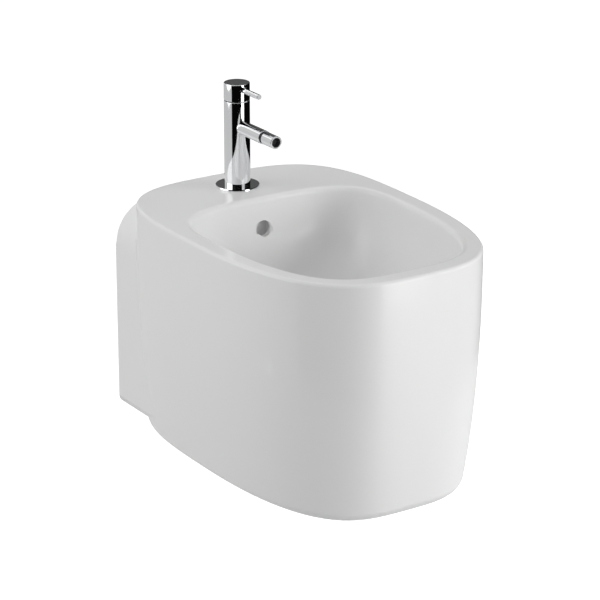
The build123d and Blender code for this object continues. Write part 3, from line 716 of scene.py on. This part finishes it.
@dataclass
class Fixing:
    """A threaded stud or a nut that stands where the model's node is and takes its size from it.

    Its pitch and its bore's radius are millimetres, and a stud has no bore.
    """

    node: str
    finish: Finish
    slot: str
    pitch: float = 1.25
    bore: float = 0.0

    def build(self, frame: dict) -> bpy.types.Object:
        """Make the piece: a nut where it has a bore, and otherwise a threaded stud.

        Args:
            frame: The loaded frame; not used.

        Returns:
            The piece, which stands for the node.
        """
        low, high = (np.array(corner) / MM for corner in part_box(self.node))
        middle = np.array([(low[0] + high[0]) / 2, (low[1] + high[1]) / 2, 0.0])
        if self.bore > 0:
            rings = hexagon(high[1] - low[1], self.bore, low[2], high[2])
            shape = round_axis(*rings, middle, Ends.RING)
        else:
            rings = threaded((high[0] - low[0]) / 2, self.pitch, low[2], high[2])
            shape = round_axis(*rings, middle, Ends.CAPPED)
        piece = make_piece(f"cut_{self.node}", *shape, self.finish, "root", self.slot)
        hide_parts(self.node)
        return piece


FIXINGS = (
    Fixing("tap_fixing_stud", PLAIN_STEEL, "steel"),
    Fixing("tap_fixing_nut", TURNED_BRASS, "brass", bore=4.05),
    Fixing("waste_nut", TURNED_BRASS, "brass", bore=21.05),
)


# ---------------------------------------------------------------------------------------------
# Carried-over nodes
# ---------------------------------------------------------------------------------------------


def smooth_group(angle: float = 28.0) -> bpy.types.NodeTree:
    """Node group that shades smoothly except over edges sharper than an angle.

    Args:
        angle: The angle in degrees.

    Returns:
        The geometry node group.
    """
    group = bpy.data.node_groups.new("smooth_by_edge", "GeometryNodeTree")
    group.interface.new_socket("Geometry", in_out="INPUT", socket_type="NodeSocketGeometry")
    group.interface.new_socket("Geometry", in_out="OUTPUT", socket_type="NodeSocketGeometry")
    nodes, links = group.nodes, group.links
    start, end = nodes.new("NodeGroupInput"), nodes.new("NodeGroupOutput")
    weld = nodes.new("GeometryNodeMergeByDistance")
    weld.inputs["Distance"].default_value = WELD
    faces = nodes.new("GeometryNodeSetShadeSmooth")
    faces.domain = "FACE"
    edges = nodes.new("GeometryNodeSetShadeSmooth")
    edges.domain = "EDGE"
    edges.inputs["Shade Smooth"].default_value = False
    fold = nodes.new("GeometryNodeInputMeshEdgeAngle")
    over = nodes.new("FunctionNodeCompare")
    over.data_type = "FLOAT"
    over.operation = "GREATER_THAN"
    over.inputs["B"].default_value = math.radians(angle)
    links.new(start.outputs["Geometry"], weld.inputs["Geometry"])
    links.new(weld.outputs["Geometry"], faces.inputs["Geometry"])
    links.new(faces.outputs["Geometry"], edges.inputs["Geometry"])
    links.new(fold.outputs["Unsigned Angle"], over.inputs["A"])
    links.new(over.outputs["Result"], edges.inputs["Selection"])
    links.new(edges.outputs["Geometry"], end.inputs["Geometry"])
    return group


def dress_nodes(frame: dict) -> None:
    """Give every carried-over node its finish and smooth shading.

    Args:
        frame: The loaded frame.
    """
    group = smooth_group()
    slots = {part["node"]: part["material_slot"] for part in frame["record"]["subparts"]}
    for name, node in frame["nodes"].items():
        finish = NODE_FINISH.get(name, SLOT_FINISH[slots[name]])
        node.data.materials.clear()
        node.data.materials.append(finish.material())
        node.modifiers.new("smooth", "NODES").node_group = group
        log.info("node %s wears %s", name, finish.name)


# ---------------------------------------------------------------------------------------------
# Studio
# ---------------------------------------------------------------------------------------------


@dataclass(frozen=True)
class SoftBox:
    """One rectangular soft lamp, by the direction in which it stands from the body.

    Its azimuth is 0 in front and grows towards +X, and its elevation counts from level. Both are
    degrees, its sides are metres and its power is watts.
    """

    name: str
    azimuth: float
    elevation: float
    width: float
    height: float
    power: float


@dataclass(frozen=True)
class Curtain:
    """Upright stage cloth round the body that only reflections see, between two azimuths.

    It stands for the unlit sides of the studio, which make the dark bands in the chrome. Azimuths
    are degrees, as a lamp's are, and its radius and top are metres. It hangs from a number of posts
    and is lifted just off the floor.
    """

    name: str
    start: float
    end: float
    shade: float
    radius: float = 1.5
    top: float = 2.4
    posts: int = 25
    lift: float = 0.002


SOFT_BOXES = (
    SoftBox("side_left", -112, 16, 1.9, 1.7, 15.0),
    SoftBox("fill_left", -62, 25, 0.9, 0.9, 4.3),
    SoftBox("high_left", -110, 50, 1.2, 1.2, 3.5),
    SoftBox("strip_right", 20, 2, 0.9, 1.6, 18.5),
    SoftBox("side_right", 56, 22, 1.1, 1.1, 19.5),
    SoftBox("rear", 160, 40, 1.2, 1.2, 8.5),
    SoftBox("rear_left", -145, 45, 1.2, 1.2, 2.0),
    SoftBox("rear_right", 110, 45, 1.2, 1.2, 2.0),
    SoftBox("top", 0, 88, 2.0, 2.0, 2.0),
)
CURTAINS = (
    Curtain("dark_front", -78, 8, 0.002),
    Curtain("dark_right", 34, 128, 0.002),
    Curtain("grey_rear", 128, 172, 0.09),
)


@dataclass
class Studio:
    """Plain pale floor, soft lamps, dark curtains for the chrome, and the camera.

    The camera swings from the front towards -X and rises above level, in degrees. Its sensor, its
    distance to the tap's foot, that foot and the floor's height are millimetres. Its focal length
    and the foot's place in the picture are pixels. The lit point, the lamps' distance, the
    camera's sight and the floor's reach are metres. The other values are strengths and shades.
    """

    floor_z: float = -700.0
    swing: float = 32.887
    rise: float = 20.04
    pixels: float = 2758.4
    frame_pixels: float = 600.0
    distance: float = 4056.0
    aim: tuple[float, float, float] = (0.0, -70.0, 80.0)
    aim_pixel: tuple[float, float] = (237.58, 185.63)
    sensor: float = 36.0
    lit_point: tuple[float, float, float] = (0.0, -0.27, -0.1)
    lamp_distance: float = 2.2
    ambient: float = 0.34
    mirrored: float = 0.60
    sight: float = 50.0
    floor_reach: float = 9.0
    floor_shade: float = 0.5
    floor_roughness: float = 0.9
    floor_glow: float = 0.86
    floor_mirrored: float = 0.35

    def camera(self) -> None:
        """Place the camera so that the tap's foot falls on its pixel."""
        a, e = math.radians(self.swing), math.radians(self.rise)
        right = Vector((math.cos(a), -math.sin(a), 0))
        up = Vector((math.sin(a) * math.sin(e), math.cos(a) * math.sin(e), math.cos(e)))
        ahead = Vector((math.sin(a) * math.cos(e), math.cos(a) * math.cos(e), -math.sin(e)))
        half = self.frame_pixels / 2
        across = (self.aim_pixel[0] - half) / self.pixels * self.distance
        above = (half - self.aim_pixel[1]) / self.pixels * self.distance
        place = Vector(self.aim) - right * across - up * above - ahead * self.distance
        data = bpy.data.cameras.new("camera")
        data.sensor_width = self.sensor
        data.lens = self.pixels / self.frame_pixels * self.sensor
        data.clip_end = self.sight
        camera = bpy.data.objects.new("camera", data)
        turn = Matrix((right, up, -ahead)).transposed().to_4x4()
        camera.matrix_world = Matrix.Translation(place * MM) @ turn
        bpy.context.scene.collection.objects.link(camera)
        bpy.context.scene.camera = camera

    def lamp(self, box: SoftBox) -> None:
        """Hang one soft lamp, turned to the body.

        Args:
            box: The lamp's direction, size and power.
        """
        around, above = math.radians(box.azimuth), math.radians(box.elevation)
        level = math.cos(above)
        way = Vector((math.sin(around) * level, -math.cos(around) * level, math.sin(above)))
        data = bpy.data.lights.new(box.name, "AREA")
        data.shape = "RECTANGLE"
        data.size, data.size_y = box.width, box.height
        data.energy = box.power
        lamp = bpy.data.objects.new(box.name, data)
        lamp.location = Vector(self.lit_point) + way * self.lamp_distance
        lamp.rotation_euler = (-way).to_track_quat("-Z", "Y").to_euler()
        bpy.context.scene.collection.objects.link(lamp)

    def stage(self, name: str, points: Array, faces: Array,
              material: bpy.types.Material) -> bpy.types.Object:
        """Add one piece of the stage, which isn't part of the object.

        Args:
            name: Its name.
            points: Its points in metres.
            faces: Its faces.
            material: What it wears.

        Returns:
            The stage object.
        """
        mesh = bpy.data.meshes.new(name)
        mesh.from_pydata(points.tolist(), [], faces.tolist())
        mesh.materials.append(material)
        made = bpy.data.objects.new(name, mesh)
        bpy.context.scene.collection.objects.link(made)
        return made

    def floor(self) -> None:
        """Lay the floor: matt, with the light that makes it white where the camera sees it."""
        made = bpy.data.materials.new("floor_white")
        made.use_nodes = True
        shader = made.node_tree.nodes["Principled BSDF"]
        shader.inputs["Base Color"].default_value = (self.floor_shade,) * 3 + (1.0,)
        shader.inputs["Roughness"].default_value = self.floor_roughness
        shader.inputs["Emission Color"].default_value = WHITE
        glow = self.seen_white(made.node_tree, self.floor_glow, 0.0, self.floor_mirrored)
        made.node_tree.links.new(glow, shader.inputs["Emission Strength"])
        corners = np.array([[-1, -1, 0], [1, -1, 0], [1, 1, 0], [-1, 1, 0]]) * self.floor_reach
        points = corners + (0, 0, self.floor_z * MM)
        self.stage("floor", points, np.array([[0, 1, 2, 3]]), made)

    def curtain(self, cloth: Curtain) -> None:
        """Hang one curtain: a point at each azimuth on a circle round the body, low and high.

        Args:
            cloth: Its azimuths, shade and size.
        """
        made = bpy.data.materials.new(cloth.name)
        made.use_nodes = True
        shader = made.node_tree.nodes["Principled BSDF"]
        shader.inputs["Base Color"].default_value = BLACK
        shader.inputs["Roughness"].default_value = 1.0
        shader.inputs["Specular IOR Level"].default_value = 0.0
        shader.inputs["Emission Color"].default_value = WHITE
        shader.inputs["Emission Strength"].default_value = cloth.shade
        turn = np.radians(np.linspace(cloth.start, cloth.end, cloth.posts))
        ring = np.stack([np.sin(turn), -np.cos(turn), 0 * turn], -1) * cloth.radius
        foot = ring + (0, self.aim[1] * MM, self.floor_z * MM + cloth.lift)
        points = np.vstack([foot, foot + (0, 0, cloth.top)])
        panel = self.stage(cloth.name, points, grid_faces(2, len(turn), False, False), made)
        for ray in ("camera", "diffuse", "transmission", "shadow", "volume_scatter"):
            setattr(panel, f"visible_{ray}", False)

    def seen_white(self, tree: bpy.types.NodeTree, camera: float, base: float,
                   mirrored: float) -> bpy.types.NodeSocket:
        """Strength that depends on what kind of ray looks: the camera, a reflection or light.

        It is base, plus camera less base for a camera or transmission ray, plus mirrored less
        base for a glossy ray.

        Args:
            tree: The floor's or the world's node tree.
            camera: Strength for camera and transmission rays.
            base: Strength for the rays that light the object.
            mirrored: Strength for glossy rays.

        Returns:
            The socket that carries the strength.
        """
        nodes, links = tree.nodes, tree.links
        path = nodes.new("ShaderNodeLightPath")
        direct = nodes.new("ShaderNodeMath")
        direct.operation = "MAXIMUM"
        links.new(path.outputs["Is Camera Ray"], direct.inputs[0])
        links.new(path.outputs["Is Transmission Ray"], direct.inputs[1])
        total = None
        glossy = path.outputs["Is Glossy Ray"]
        for seen, strength in ((direct.outputs[0], camera), (glossy, mirrored)):
            part = nodes.new("ShaderNodeMath")
            part.operation = "MULTIPLY_ADD"
            part.inputs[1].default_value = strength - base
            part.inputs[2].default_value = base
            links.new(seen, part.inputs[0])
            if total is not None:
                links.new(total, part.inputs[2])
            total = part.outputs[0]
        return total

    def build(self) -> None:
        """Set up the floor, the world, the lamps, the curtains and the camera."""
        self.floor()
        world = bpy.data.worlds.new("world")
        bpy.context.scene.world = world
        world.use_nodes = True
        back = world.node_tree.nodes["Background"]
        back.inputs["Color"].default_value = WHITE
        strength = self.seen_white(world.node_tree, 1.0, self.ambient, self.mirrored)
        world.node_tree.links.new(strength, back.inputs["Strength"])
        for box in SOFT_BOXES:
            self.lamp(box)
        for cloth in CURTAINS:
            self.curtain(cloth)
        bpy.context.scene.view_settings.view_transform = "Standard"
        self.camera()


def main() -> None:
    """Build the dressed bidet and its studio."""
    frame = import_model()
    dress_nodes(frame)
    pieces = [CeramicBody().build(frame, WHITE_GLAZE)]
    pieces += [fixing.build(frame) for fixing in FIXINGS]
    for piece in pieces:
        log.info("piece %s", piece.name)
    Studio().build()


if __name__ == "__main__":
    main()
